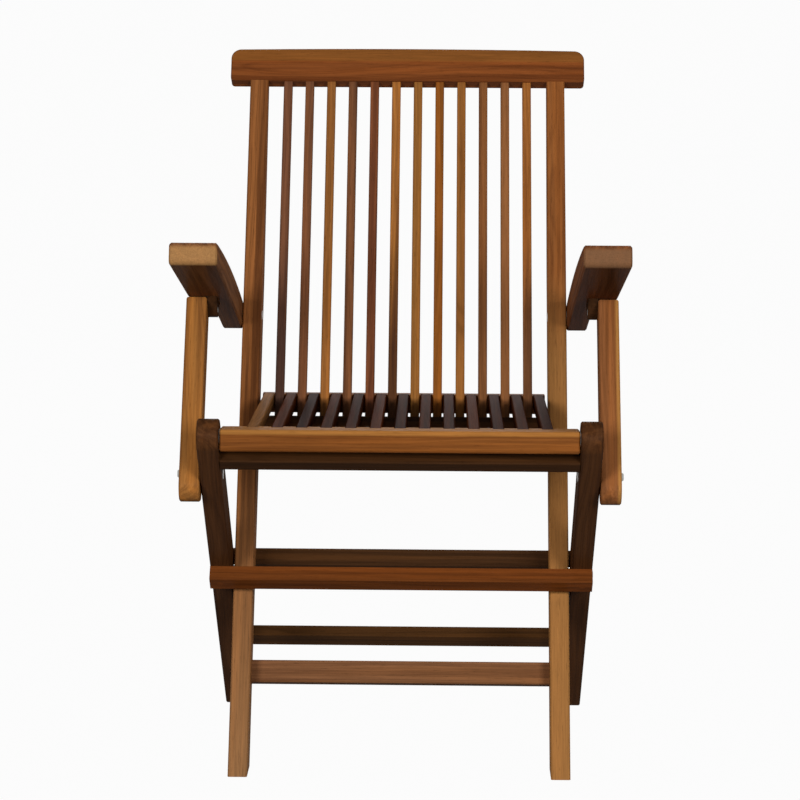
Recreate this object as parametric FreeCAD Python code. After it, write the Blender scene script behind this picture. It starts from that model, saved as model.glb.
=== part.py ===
import FreeCAD, Part
import math
import os

# Folding armchair of teak, in millimetres, +Z up, +Y to the back.
# Left and right are as seen from in front of the chair, so the right side is at +X.
# Side views are drawn in the YZ plane, from the front edge of the front foot, and the finished
# chair is moved so that the origin is the middle of its floor rectangle.

# Frame geometry
STILE_LEAN = math.radians(28.4)
LEG_RISE = math.radians(45.3)
REAR_FOOT_Y = 354.0
HALF_BACK_WIDTH = 220.0
STOCK = 25.0
EDGE = 1.6
LONG_EDGE = 60.0
HOUSING = 8.0
GLUE_LINE = 0.1
THROUGH = 1.0
TOUCH = 1e-6

# Stile, one piece from front foot to top rail
STILE_DEPTH = 44.0
STILE_TOP_DEPTH = 23.0
STILE_TAPER_ABOVE_ARM = 60.0
STILE_TENON = 12.0
STILE_TENON_SHOULDER = 5.0

# Rails of the back
TOP_RAIL_LENGTH = 496.0
TOP_RAIL_HEIGHT = 50.0
TOP_RAIL_DEPTH = 25.0
TOP_RAIL_CROWN = 2.0
TOP_RAIL_CORNER = 14.0
TOP_RAIL_LOW_CORNER = 5.0
TOP_RAIL_UNDERSIDE = 988.0
TOP_RAIL_BACK_EDGE = 3.0
LOWER_RAIL_TOP = 491.0
LOWER_RAIL_HEIGHT = 40.0
LOWER_RAIL_DEPTH = 22.0
FRONT_STRETCHER_TOP = 161.0
FRONT_STRETCHER_HEIGHT = 29.5
FRONT_STRETCHER_DEPTH = 15.0
FRONT_STRETCHER_SETBACK = 26.0

# Slats
BACK_SLATS = 12
SEAT_SLATS = BACK_SLATS + 1
SLAT_SIDE_GAP = 5.35
BACK_SLAT_WIDTH = 12.0
BACK_SLAT_DEPTH = 12.0
BACK_SLAT_SETBACK = 4.0
SEAT_SLAT_WIDTH = 14.5
SEAT_SLAT_THICK = 16.0
SLAT_EDGE = 1.2

# Rear legs and what joins them
LEG_DEPTH = 44.0
LEG_WIDTH = 27.0
LEG_GAP = 2.5
SEAT_PIVOT_Z = 454.8
SEAT_HOLE_DEPTH = 20.0
STOP_BAR_THICK = 20.0
STOP_BAR_RISE = 6.0
STOP_BAR_HEIGHT = 25.0
REAR_STOP_THICK = 27.0
STOP_GAP = 0.3
UNDER_RAIL_BELOW_PIVOT = 22.0
UNDER_RAIL_HEIGHT = 19.0
UNDER_RAIL_THICK = 18.0
REAR_STRETCHER_TOP = 142.0
REAR_STRETCHER_HEIGHT = 28.0
REAR_STRETCHER_THICK = 16.0
REAR_STRETCHER_OFFSET = 26.0

# Seat
SEAT_SLOPE = math.radians(1.8)
SEAT_TOP_ABOVE_PIVOT = 10.8
SEAT_FRONT_RAIL_DEPTH = 32.0
SEAT_FRONT_RAIL_HEIGHT = 28.0
SEAT_FRONT_RAIL_NOSE = 3.0
SEAT_FRONT_RAIL_CHIN = 6.0
SEAT_RAIL_GAP = 1.0
SEAT_RAIL_END_CHAMFER = 2.0
SEAT_REAR_RAIL_DEPTH = 20.0
SEAT_REAR_RAIL_HEIGHT = 25.5
SEAT_SLIDE_GAP = 6.0
SEAT_STILE_GAP = 4.0

# Arms
ARM_PIVOT_Z = 555.0
ARM_GAP = 1.0
ARM_FRONT_Y = -100.0
ARM_FRONT_UNDERSIDE = 671.5
ARM_FRONT_THICK = 28.0
ARM_REAR_THICK = 36.0
ARM_ARCH = 7.0
ARM_FRONT_WIDTH = 58.5
ARM_POST_WIDTH = 54.5
ARM_REAR_WIDTH = 27.5
ARM_WAIST = 100.0
ARM_SWELL = 128.0
ARM_EDGE = 2.0
ARM_NOSE = 8.0

# Arm posts
POST_DEPTH = 40.0
POST_WIDTH = 26.0
POST_GAP = 1.0
POST_PIVOT_Z = 397.0
POST_LEAN = math.radians(30.0)
POST_TAIL = 36.0
POST_HEAD_GAP = 1.5
POST_HEAD_SETBACK = 8.0
CLEAT_GAP = 0.5
CLEAT_THICK = 12.0
CLEAT_ROUND = 9.5

# Hardware of stainless steel
BOLT_RADIUS = 4.0
BOLT_HEAD_RADIUS = 6.3
BOLT_HEAD_TOP_RADIUS = 4.3
BOLT_HEAD_HEIGHT = 3.4
RUNNING_FIT = 0.05
SLEEVE_END_GAP = 0.3
HOLE_RADIUS = BOLT_RADIUS + RUNNING_FIT
WASHER_RADIUS = 9.0
NUT_RADIUS = 6.5
NUT_HEIGHT = 5.0
NUT_CLEARANCE = 0.3
SCREW_RADIUS = 2.0
SCREW_HEAD_RADIUS = 4.0
SCREW_HEAD_DEPTH = 3.0
SCREW_IN_LEG = 16.0
PLUG_DEPTH = 5.0
SOCKET_RADIUS = 2.6
SOCKET_DEPTH = 2.2

NODES = {}


def stile_point(along, across):
    """Point at a distance up the stile's front face and a depth behind it."""
    uy, uz = math.sin(STILE_LEAN), math.cos(STILE_LEAN)
    return (along * uy + across * uz, along * uz - across * uy)


def leg_point(along, across):
    """Point at a distance up the leg's lower face and a depth above it."""
    uy, uz = -math.cos(LEG_RISE), math.sin(LEG_RISE)
    return (REAR_FOOT_Y + along * uy + across * uz, along * uz - across * uy)


def cross(p, direction_p, q, direction_q):
    """Where two lines of the side view meet."""
    det = direction_p[0] * direction_q[1] - direction_p[1] * direction_q[0]
    t = ((q[0] - p[0]) * direction_q[1] - (q[1] - p[1]) * direction_q[0]) / det
    return (p[0] + t * direction_p[0], p[1] + t * direction_p[1])


STILE_DIR = (math.sin(STILE_LEAN), math.cos(STILE_LEAN))
LEG_DIR = (-math.cos(LEG_RISE), math.sin(LEG_RISE))
STILE_MID = stile_point(0.0, STILE_DEPTH / 2)
LEG_MID = leg_point(0.0, LEG_DEPTH / 2)
CROSSING = cross(STILE_MID, STILE_DIR, LEG_MID, LEG_DIR)
SEAT_PIVOT = cross(LEG_MID, LEG_DIR, (0.0, SEAT_PIVOT_Z), (1.0, 0.0))
ARM_PIVOT = cross(STILE_MID, STILE_DIR, (0.0, ARM_PIVOT_Z), (1.0, 0.0))
POST_PIVOT = cross(LEG_MID, LEG_DIR, (0.0, POST_PIVOT_Z), (1.0, 0.0))
POST_DIR = (math.sin(POST_LEAN), math.cos(POST_LEAN))
ARM_UNDER_FRONT = (ARM_FRONT_Y, ARM_FRONT_UNDERSIDE)

STILE_INNER = HALF_BACK_WIDTH - STOCK
NUT_SEAT = STILE_INNER + NUT_HEIGHT
LEG_INNER = HALF_BACK_WIDTH + LEG_GAP
LEG_OUTER = LEG_INNER + LEG_WIDTH
POST_INNER = LEG_OUTER + POST_GAP
POST_OUTER = POST_INNER + POST_WIDTH
CLEAT_INNER = POST_INNER - CLEAT_GAP - CLEAT_THICK
SLEEVE_SEAT = LEG_INNER + NUT_HEIGHT
SLAT_PITCH = (2 * (STILE_INNER - SLAT_SIDE_GAP) - SEAT_SLAT_WIDTH) / (SEAT_SLATS - 1)
ARM_INNER = HALF_BACK_WIDTH + ARM_GAP
ARM_SLOPE = math.atan2(
    ARM_FRONT_UNDERSIDE - (ARM_PIVOT[1] - ARM_REAR_THICK / 2),
    ARM_PIVOT[0] - ARM_FRONT_Y,
)


def along_stile(point):
    """How far up the stile's front face a point of the side view lies."""
    return point[0] * STILE_DIR[0] + point[1] * STILE_DIR[1]


def along_leg(point):
    """How far up the leg's lower face a point of the side view lies."""
    return (point[0] - REAR_FOOT_Y) * LEG_DIR[0] + point[1] * LEG_DIR[1]


def vec(x, yz):
    return FreeCAD.Vector(x, yz[0], yz[1])


def wire_of(points, x):
    """Closed wire at X through points; a 3-item entry is an arc's middle and end."""
    edges = []
    start = vec(x, points[0])
    first = start
    for item in points[1:]:
        if isinstance(item[0], tuple):
            middle, end = vec(x, item[0]), vec(x, item[1])
            edges.append(Part.Arc(start, middle, end).toShape())
        else:
            end = vec(x, item)
            edges.append(Part.LineSegment(start, end).toShape())
        start = end
    if (start - first).Length > TOUCH:
        edges.append(Part.LineSegment(start, first).toShape())
    return Part.Wire(edges)


def prism(points, x_low, x_high):
    """Side-view outline carried across the chair from one X to another."""
    face = Part.Face(wire_of(points, x_low))
    return face.extrude(FreeCAD.Vector(x_high - x_low, 0.0, 0.0))


def block(place, along, across, x_low, x_high):
    """Straight bar whose section is given in a member's own directions."""
    corners = [
        place(along[0], across[0]),
        place(along[1], across[0]),
        place(along[1], across[1]),
        place(along[0], across[1]),
    ]
    return prism(corners, x_low, x_high)


def ease(shape, size, keep):
    """Take the arris off the edges that a test picks out."""
    edges = [edge for edge in shape.Edges if keep(edge)]
    return shape.makeChamfer(size, edges)


def runs_across(edge):
    """True for an edge parallel to X."""
    start, end = edge.Vertexes[0].Point, edge.Vertexes[-1].Point
    return math.hypot(end.y - start.y, end.z - start.z) < TOUCH and abs(end.x - start.x) > TOUCH


def stands_across(edge):
    """True for an edge whose ends are further apart along X than in the side view."""
    start, end = edge.Vertexes[0].Point, edge.Vertexes[-1].Point
    return abs(end.x - start.x) > math.hypot(end.y - start.y, end.z - start.z)


def runs_along(edge):
    """True for a long straight edge that is not parallel to X."""
    straight = edge.Curve.TypeId == "Part::GeomLine"
    return straight and not runs_across(edge) and edge.Length > LONG_EDGE


def rod(x_low, x_high, centre, radius):
    """Round bar along X."""
    base = vec(x_low, centre)
    return Part.makeCylinder(radius, x_high - x_low, base, FreeCAD.Vector(1.0, 0.0, 0.0))


def washer(x_low, x_high, centre):
    """Flat washer round a bolt."""
    return rod(x_low, x_high, centre, WASHER_RADIUS).cut(rod(x_low, x_high, centre, HOLE_RADIUS))


def hexagon(centre, radius):
    """Corners of a six-sided outline in the side view."""
    turns = [math.radians(60.0 * i) for i in range(6)]
    return [(centre[0] + radius * math.cos(a), centre[1] + radius * math.sin(a)) for a in turns]


def head(x_face, centre):
    """Raised bolt head standing on a face at X, with a six-sided socket."""
    axis = FreeCAD.Vector(1.0, 0.0, 0.0)
    cone = Part.makeCone(BOLT_HEAD_RADIUS, BOLT_HEAD_TOP_RADIUS, BOLT_HEAD_HEIGHT, vec(x_face, centre), axis)
    top = x_face + BOLT_HEAD_HEIGHT
    return cone.cut(prism(hexagon(centre, SOCKET_RADIUS), top - SOCKET_DEPTH, top + THROUGH))


def mirrored(shape):
    return shape.mirror(FreeCAD.Vector(0.0, 0.0, 0.0), FreeCAD.Vector(1.0, 0.0, 0.0))


def add(name, shape):
    NODES[name] = shape


def add_pair(name, right_shape):
    """A piece at +X and its mirror image at -X."""
    add("right_" + name, right_shape)
    add("left_" + name, mirrored(right_shape))


def row(count):
    """Places of evenly pitched slats, about the middle of the chair."""
    first = -(count - 1) / 2.0 * SLAT_PITCH
    return [first + i * SLAT_PITCH for i in range(count)]


def make_stile():
    """Stile with a level foot, a taper behind its upper half and a tenon at its top."""
    taper = along_stile(ARM_PIVOT) + STILE_TAPER_ABOVE_ARM
    level = math.tan(STILE_LEAN)
    sole = STILE_DEPTH * level
    outline = [
        stile_point(0.0, 0.0),
        stile_point(TOP_RAIL_UNDERSIDE, 0.0),
        stile_point(TOP_RAIL_UNDERSIDE, STILE_TOP_DEPTH),
        stile_point(taper, STILE_DEPTH),
        stile_point(sole, STILE_DEPTH),
    ]
    body = ease(prism(outline, STILE_INNER, HALF_BACK_WIDTH), EDGE, runs_along)
    tenon = block(
        stile_point,
        (TOP_RAIL_UNDERSIDE - THROUGH, TOP_RAIL_UNDERSIDE + STILE_TENON),
        (STILE_TENON_SHOULDER, STILE_TOP_DEPTH - STILE_TENON_SHOULDER),
        STILE_INNER + STILE_TENON_SHOULDER,
        HALF_BACK_WIDTH - STILE_TENON_SHOULDER,
    )
    body = body.fuse(tenon).removeSplitter()
    for pivot in (CROSSING, ARM_PIVOT):
        body = body.cut(rod(STILE_INNER - THROUGH, HALF_BACK_WIDTH + THROUGH, pivot, HOLE_RADIUS))
        body = body.cut(rod(STILE_INNER - THROUGH, NUT_SEAT, pivot, NUT_RADIUS + NUT_CLEARANCE))
    return body


def housing(place, along, across, x_mid, width):
    """Pocket that takes a slat's end, larger by the glue line."""
    return block(
        place,
        along,
        (across[0] - GLUE_LINE, across[1] + GLUE_LINE),
        x_mid - width / 2 - GLUE_LINE,
        x_mid + width / 2 + GLUE_LINE,
    )


BACK_SLAT_LAYER = (BACK_SLAT_SETBACK, BACK_SLAT_SETBACK + BACK_SLAT_DEPTH)


def rail_outline(half, low, high):
    """Front view of the top rail: crowned top edge, rounded upper and lower corners."""
    k = 1.0 - math.sqrt(0.5)
    big, small = TOP_RAIL_CORNER, TOP_RAIL_LOW_CORNER
    shoulder = high - TOP_RAIL_CROWN
    return [
        (-half + small, low),
        (half - small, low),
        ((half - small * k, low + small * k), (half, low + small)),
        (half, shoulder - big),
        ((half - big * k, shoulder - big * k), (half - big, shoulder)),
        ((0.0, high), (-half + big, shoulder)),
        ((-half + big * k, shoulder - big * k), (-half, shoulder - big)),
        (-half, low + small),
        ((-half + small * k, low + small * k), (-half + small, low)),
    ]


def make_top_rail():
    """Top rail: its front view extruded back, then leaned with the stiles."""
    points = rail_outline(TOP_RAIL_LENGTH / 2, TOP_RAIL_UNDERSIDE, TOP_RAIL_UNDERSIDE + TOP_RAIL_HEIGHT)

    def spot(xz):
        y, z = stile_point(xz[1], 0.0)
        return FreeCAD.Vector(xz[0], y, z)

    edges = []
    start = spot(points[0])
    for item in points[1:]:
        if isinstance(item[0], tuple):
            end = spot(item[1])
            edges.append(Part.Arc(start, spot(item[0]), end).toShape())
        else:
            end = spot(item)
            edges.append(Part.LineSegment(start, end).toShape())
        start = end
    back = vec(0.0, stile_point(0.0, TOP_RAIL_DEPTH)) - vec(0.0, stile_point(0.0, 0.0))
    body = Part.Face(Part.Wire(edges)).extrude(back)
    outward = back.normalize()
    for depth, size in ((0.0, EDGE), (TOP_RAIL_DEPTH, TOP_RAIL_BACK_EDGE)):
        rim = [
            edge for edge in body.Edges
            if all(abs(v.Point.dot(outward) - depth) < TOUCH for v in edge.Vertexes)
        ]
        body = body.makeChamfer(size, rim)
    for x_mid in row(BACK_SLATS):
        pocket = housing(
            stile_point,
            (TOP_RAIL_UNDERSIDE - THROUGH, TOP_RAIL_UNDERSIDE + HOUSING),
            BACK_SLAT_LAYER,
            x_mid,
            BACK_SLAT_WIDTH,
        )
        body = body.cut(pocket)
    mortise = block(
        stile_point,
        (TOP_RAIL_UNDERSIDE - THROUGH, TOP_RAIL_UNDERSIDE + STILE_TENON),
        (STILE_TENON_SHOULDER - GLUE_LINE, STILE_TOP_DEPTH - STILE_TENON_SHOULDER + GLUE_LINE),
        STILE_INNER + STILE_TENON_SHOULDER - GLUE_LINE,
        HALF_BACK_WIDTH - STILE_TENON_SHOULDER + GLUE_LINE,
    )
    return body.cut(mortise).cut(mirrored(mortise))


def make_lower_back_rail():
    """Rail under the back slats, between the stiles."""
    body = block(
        stile_point,
        (LOWER_RAIL_TOP - LOWER_RAIL_HEIGHT, LOWER_RAIL_TOP),
        (0.0, LOWER_RAIL_DEPTH),
        -STILE_INNER,
        STILE_INNER,
    )
    body = ease(body, EDGE, runs_across)
    for x_mid in row(BACK_SLATS):
        pocket = housing(
            stile_point,
            (LOWER_RAIL_TOP - HOUSING, LOWER_RAIL_TOP + THROUGH),
            BACK_SLAT_LAYER,
            x_mid,
            BACK_SLAT_WIDTH,
        )
        body = body.cut(pocket)
    return body


def make_back_slat(x_mid):
    """Back slat, housed at both ends."""
    half = BACK_SLAT_WIDTH / 2
    body = block(
        stile_point,
        (LOWER_RAIL_TOP - HOUSING, TOP_RAIL_UNDERSIDE + HOUSING),
        BACK_SLAT_LAYER,
        x_mid - half,
        x_mid + half,
    )
    return ease(body, SLAT_EDGE, lambda edge: edge.Length > LONG_EDGE)


def make_front_stretcher():
    """Stretcher between the stiles, near the floor."""
    body = block(
        stile_point,
        (FRONT_STRETCHER_TOP - FRONT_STRETCHER_HEIGHT, FRONT_STRETCHER_TOP),
        (FRONT_STRETCHER_SETBACK, FRONT_STRETCHER_SETBACK + FRONT_STRETCHER_DEPTH),
        -STILE_INNER,
        STILE_INNER,
    )
    return ease(body, EDGE, runs_across)


STOP_BAR_LOW = along_leg(cross(leg_point(0.0, 0.0), LEG_DIR, (0.0, 0.0), STILE_DIR)) + STOP_BAR_RISE


def screw_line(depth):
    """Point at a depth under the front stop bar's face on the right screw's line, and the way in."""
    x_mid = (LEG_INNER + LEG_OUTER) / 2
    middle = STOP_BAR_LOW + STOP_BAR_HEIGHT / 2
    inward = vec(x_mid, leg_point(middle, 0.0)) - vec(x_mid, leg_point(middle, -STOP_BAR_THICK))
    inward.normalize()
    return vec(x_mid, leg_point(middle, depth - STOP_BAR_THICK)), inward


def screw(oversize):
    """Countersunk screw through the front stop bar into the right leg, with the same fit all round."""
    seat, inward = screw_line(PLUG_DEPTH)
    shank = SCREW_RADIUS + oversize
    cone = Part.makeCone(SCREW_HEAD_RADIUS + oversize, shank, SCREW_HEAD_DEPTH, seat, inward)
    length = STOP_BAR_THICK - PLUG_DEPTH + SCREW_IN_LEG + oversize
    return cone.fuse(Part.makeCylinder(shank, length, seat, inward)).removeSplitter()


def plug(oversize):
    """Plug of teak over the right screw's head, flush with the bar."""
    face, inward = screw_line(0.0)
    return Part.makeCylinder(SCREW_HEAD_RADIUS + oversize, PLUG_DEPTH, face, inward)


def make_leg():
    """Rear leg: a level foot at one end and a half-round head about the seat's hinge."""
    radius = LEG_DEPTH / 2
    head = along_leg(SEAT_PIVOT)
    foot = LEG_DEPTH / math.tan(LEG_RISE)
    outline = [
        leg_point(0.0, 0.0),
        leg_point(head, 0.0),
        (leg_point(head + radius, radius), leg_point(head, LEG_DEPTH)),
        leg_point(-foot, LEG_DEPTH),
    ]
    body = ease(prism(outline, LEG_INNER, LEG_OUTER), EDGE, runs_along)
    for pivot in (CROSSING, POST_PIVOT):
        body = body.cut(rod(LEG_INNER - THROUGH, LEG_OUTER + THROUGH, pivot, HOLE_RADIUS))
    body = body.cut(rod(LEG_INNER - THROUGH, SLEEVE_SEAT, POST_PIVOT, NUT_RADIUS + NUT_CLEARANCE))
    blind = rod(LEG_INNER - THROUGH, LEG_INNER + SEAT_HOLE_DEPTH, SEAT_PIVOT, HOLE_RADIUS)
    return body.cut(blind).cut(screw(RUNNING_FIT))


def make_front_stop_bar():
    """Bar on the legs' lower faces, in front of the stiles."""
    section = ((STOP_BAR_LOW, STOP_BAR_LOW + STOP_BAR_HEIGHT), (-STOP_BAR_THICK, 0.0))
    body = block(leg_point, section[0], section[1], -LEG_OUTER, LEG_OUTER)
    far = [leg_point(along, -STOP_BAR_THICK) for along in section[0]]
    body = ease(body, EDGE, lambda edge: runs_across(edge) and near_outline(edge, far))
    hole = screw(RUNNING_FIT).fuse(plug(RUNNING_FIT))
    return body.cut(hole).cut(mirrored(hole))


def near_outline(edge, spots):
    """True for an X edge that starts at one of the given side-view points."""
    point = edge.Vertexes[0].Point
    return any(math.hypot(point.y - y, point.z - z) < TOUCH for y, z in spots)


def make_rear_stop_rail():
    """Rail on the legs' upper faces that comes up against the stiles' backs when the chair is open."""
    stile_back = stile_point(0.0, STILE_DEPTH)
    top = along_leg(cross(leg_point(0.0, LEG_DEPTH), LEG_DIR, stile_back, STILE_DIR)) - STOP_GAP
    body = block(
        leg_point,
        (top - STOP_BAR_HEIGHT, top),
        (LEG_DEPTH, LEG_DEPTH + REAR_STOP_THICK),
        -LEG_OUTER,
        LEG_OUTER,
    )
    far = [leg_point(along, LEG_DEPTH + REAR_STOP_THICK) for along in (top - STOP_BAR_HEIGHT, top)]
    return ease(body, EDGE, lambda edge: runs_across(edge) and near_outline(edge, far))


def make_under_seat_rail():
    """Rail between the legs, under the seat's front rail."""
    top = along_leg(SEAT_PIVOT) - UNDER_RAIL_BELOW_PIVOT
    body = block(leg_point, (top - UNDER_RAIL_HEIGHT, top), (0.0, UNDER_RAIL_THICK), -LEG_INNER, LEG_INNER)
    return ease(body, EDGE, runs_across)


def make_rear_stretcher():
    """Stretcher between the rear legs, near the floor."""
    body = block(
        leg_point,
        (REAR_STRETCHER_TOP - REAR_STRETCHER_HEIGHT, REAR_STRETCHER_TOP),
        (REAR_STRETCHER_OFFSET, REAR_STRETCHER_OFFSET + REAR_STRETCHER_THICK),
        -LEG_INNER,
        LEG_INNER,
    )
    return ease(body, EDGE, runs_across)


def seat_point(back, down):
    """Point of the seat: a distance behind its hinge and a depth below its top face."""
    cy, cz = math.cos(SEAT_SLOPE), math.sin(SEAT_SLOPE)
    top_y = SEAT_PIVOT[0] + SEAT_TOP_ABOVE_PIVOT * cz
    top_z = SEAT_PIVOT[1] + SEAT_TOP_ABOVE_PIVOT * cy
    return (top_y + back * cy - down * cz, top_z - back * cz - down * cy)


SEAT_FRONT = -SEAT_FRONT_RAIL_DEPTH / 2
SEAT_FRONT_BACK = SEAT_FRONT_RAIL_DEPTH / 2
SEAT_RAIL_HALF = LEG_INNER - SEAT_RAIL_GAP


def seat_reach():
    """Distance behind the hinge at which the rear rail clears the back slats."""
    layer = BACK_SLAT_LAYER[1] + SEAT_SLIDE_GAP
    low = cross(
        seat_point(0.0, SEAT_REAR_RAIL_HEIGHT),
        (math.cos(SEAT_SLOPE), -math.sin(SEAT_SLOPE)),
        stile_point(0.0, layer),
        STILE_DIR,
    )
    high = cross(
        seat_point(0.0, 0.0),
        (math.cos(SEAT_SLOPE), -math.sin(SEAT_SLOPE)),
        stile_point(0.0, layer),
        STILE_DIR,
    )
    origin = seat_point(0.0, 0.0)
    under = seat_point(0.0, SEAT_REAR_RAIL_HEIGHT)
    return max(
        math.hypot(high[0] - origin[0], high[1] - origin[1]),
        math.hypot(low[0] - under[0], low[1] - under[1]),
    )


SEAT_REACH = seat_reach()


def make_seat_front_rail():
    """Front rail with a rounded nose, chamfered ends and pockets for the slats."""
    nose, chin = SEAT_FRONT_RAIL_NOSE, SEAT_FRONT_RAIL_CHIN
    k = 1.0 - math.sqrt(0.5)
    deep = SEAT_FRONT_RAIL_HEIGHT
    outline = [
        seat_point(SEAT_FRONT_BACK, 0.0),
        seat_point(SEAT_FRONT + nose, 0.0),
        (seat_point(SEAT_FRONT + nose * k, nose * k), seat_point(SEAT_FRONT, nose)),
        seat_point(SEAT_FRONT, deep - chin),
        (seat_point(SEAT_FRONT + chin * k, deep - chin * k), seat_point(SEAT_FRONT + chin, deep)),
        seat_point(SEAT_FRONT_BACK, deep),
    ]
    body = prism(outline, -SEAT_RAIL_HALF, SEAT_RAIL_HALF)
    ends = [
        edge for edge in body.Edges
        if all(abs(abs(v.Point.x) - SEAT_RAIL_HALF) < TOUCH for v in edge.Vertexes) and not runs_across(edge)
    ]
    body = body.makeChamfer(SEAT_RAIL_END_CHAMFER, ends)
    for x_mid in row(SEAT_SLATS):
        pocket = block(
            seat_point,
            (SEAT_FRONT_BACK - HOUSING, SEAT_FRONT_BACK + THROUGH),
            (-THROUGH, SEAT_SLAT_THICK + GLUE_LINE),
            x_mid - SEAT_SLAT_WIDTH / 2 - GLUE_LINE,
            x_mid + SEAT_SLAT_WIDTH / 2 + GLUE_LINE,
        )
        body = body.cut(pocket)
    for side in (-1.0, 1.0):
        low, high = sorted((side * (SEAT_RAIL_HALF - STOCK), side * (SEAT_RAIL_HALF + THROUGH)))
        body = body.cut(rod(low, high, SEAT_PIVOT, HOLE_RADIUS))
    return body


def make_seat_rear_rail():
    """Rear rail that slides behind the back slats, with pockets for the seat slats."""
    half = STILE_INNER - SEAT_STILE_GAP
    body = block(
        seat_point,
        (SEAT_REACH, SEAT_REACH + SEAT_REAR_RAIL_DEPTH),
        (0.0, SEAT_REAR_RAIL_HEIGHT),
        -half,
        half,
    )
    body = ease(body, EDGE, runs_across)
    for x_mid in row(SEAT_SLATS):
        pocket = block(
            seat_point,
            (SEAT_REACH - THROUGH, SEAT_REACH + HOUSING),
            (-THROUGH, SEAT_SLAT_THICK + GLUE_LINE),
            x_mid - SEAT_SLAT_WIDTH / 2 - GLUE_LINE,
            x_mid + SEAT_SLAT_WIDTH / 2 + GLUE_LINE,
        )
        body = body.cut(pocket)
    return body


def make_seat_slat(x_mid):
    """Seat slat, let into both rails with its top flush."""
    half = SEAT_SLAT_WIDTH / 2
    body = block(
        seat_point,
        (SEAT_FRONT_BACK - HOUSING, SEAT_REACH + HOUSING),
        (0.0, SEAT_SLAT_THICK),
        x_mid - half,
        x_mid + half,
    )
    return ease(body, SLAT_EDGE, lambda edge: edge.Length > LONG_EDGE)


ARM_DIR = (-math.cos(ARM_SLOPE), math.sin(ARM_SLOPE))
ARM_LENGTH = (ARM_PIVOT[0] - ARM_FRONT_Y) / math.cos(ARM_SLOPE)
ARM_REAR_RADIUS = ARM_REAR_THICK / 2


def arm_point(forward, up):
    """Point of the arm: distance in front of its hinge and height above its underside."""
    base_y = ARM_PIVOT[0] - ARM_REAR_RADIUS * math.sin(ARM_SLOPE)
    base_z = ARM_PIVOT[1] - ARM_REAR_RADIUS * math.cos(ARM_SLOPE)
    return (
        base_y + forward * ARM_DIR[0] + up * math.sin(ARM_SLOPE),
        base_z + forward * ARM_DIR[1] + up * math.cos(ARM_SLOPE),
    )


def post_point(along, across):
    """Point of a post: distance up from its bolt and depth behind its centre line."""
    return (
        POST_PIVOT[0] + along * POST_DIR[0] + across * POST_DIR[1],
        POST_PIVOT[1] + along * POST_DIR[1] - across * POST_DIR[0],
    )


POST_HEAD_RADIUS = POST_DEPTH / 2 - POST_HEAD_SETBACK
POST_HEAD_DROP = POST_HEAD_RADIUS + POST_HEAD_GAP
POST_HEAD = cross(post_point(0.0, POST_HEAD_SETBACK), POST_DIR, arm_point(0.0, -POST_HEAD_DROP), ARM_DIR)
POST_HEAD_FORWARD = (POST_HEAD[0] - ARM_PIVOT[0]) * ARM_DIR[0] + (POST_HEAD[1] - ARM_PIVOT[1]) * ARM_DIR[1]
POST_LENGTH = (POST_HEAD[0] - POST_PIVOT[0]) * POST_DIR[0] + (POST_HEAD[1] - POST_PIVOT[1]) * POST_DIR[1]


def arm_plan():
    """The arm seen from above, as an upright block: parallel behind, then swelling towards the front."""
    nose, behind = ARM_FRONT_Y - ARM_REAR_THICK, ARM_PIVOT[0] + ARM_REAR_THICK
    flare = math.atan2(ARM_FRONT_WIDTH - ARM_POST_WIDTH, ARM_PIVOT[0] - ARM_WAIST - ARM_SWELL - ARM_FRONT_Y)
    turn = 2.0 * math.atan2(ARM_POST_WIDTH - ARM_REAR_WIDTH, ARM_SWELL) - flare / 2.0

    def spot(place):
        return FreeCAD.Vector(ARM_INNER + place[0], ARM_PIVOT[0] - place[1], 0.0)

    def bend(start, heading, angle):
        """Middle and end of an arc that runs half the swell forwards and turns by an angle."""
        aim = heading + angle / 2.0
        chord = ARM_SWELL / 2.0 / math.cos(aim)
        side, ahead = math.sin(aim), math.cos(aim)
        rise = chord / 2.0 * math.tan(angle / 4.0)
        middle = (start[0] + chord / 2.0 * side - rise * ahead, start[1] + chord / 2.0 * ahead + rise * side)
        return middle, (start[0] + chord * side, start[1] + chord * ahead)

    waist = (ARM_REAR_WIDTH, ARM_WAIST)
    first, between = bend(waist, 0.0, turn)
    second, full = bend(between, turn, flare - turn)
    tip = ARM_PIVOT[0] - nose
    corners = [
        (full[0] + (tip - full[1]) * math.tan(flare), tip),
        (-THROUGH, tip),
        (-THROUGH, ARM_PIVOT[0] - behind),
        (ARM_REAR_WIDTH, ARM_PIVOT[0] - behind),
        waist,
    ]
    arcs = [
        Part.Arc(spot(waist), spot(first), spot(between)).toShape(),
        Part.Arc(spot(between), spot(second), spot(full)).toShape(),
    ]
    places = [full] + corners
    sides = [Part.LineSegment(spot(p), spot(q)).toShape() for p, q in zip(places, places[1:])]
    face = Part.Face(Part.Wire(arcs + sides))
    return face.extrude(FreeCAD.Vector(0.0, 0.0, 2 * ARM_FRONT_UNDERSIDE))


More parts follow.
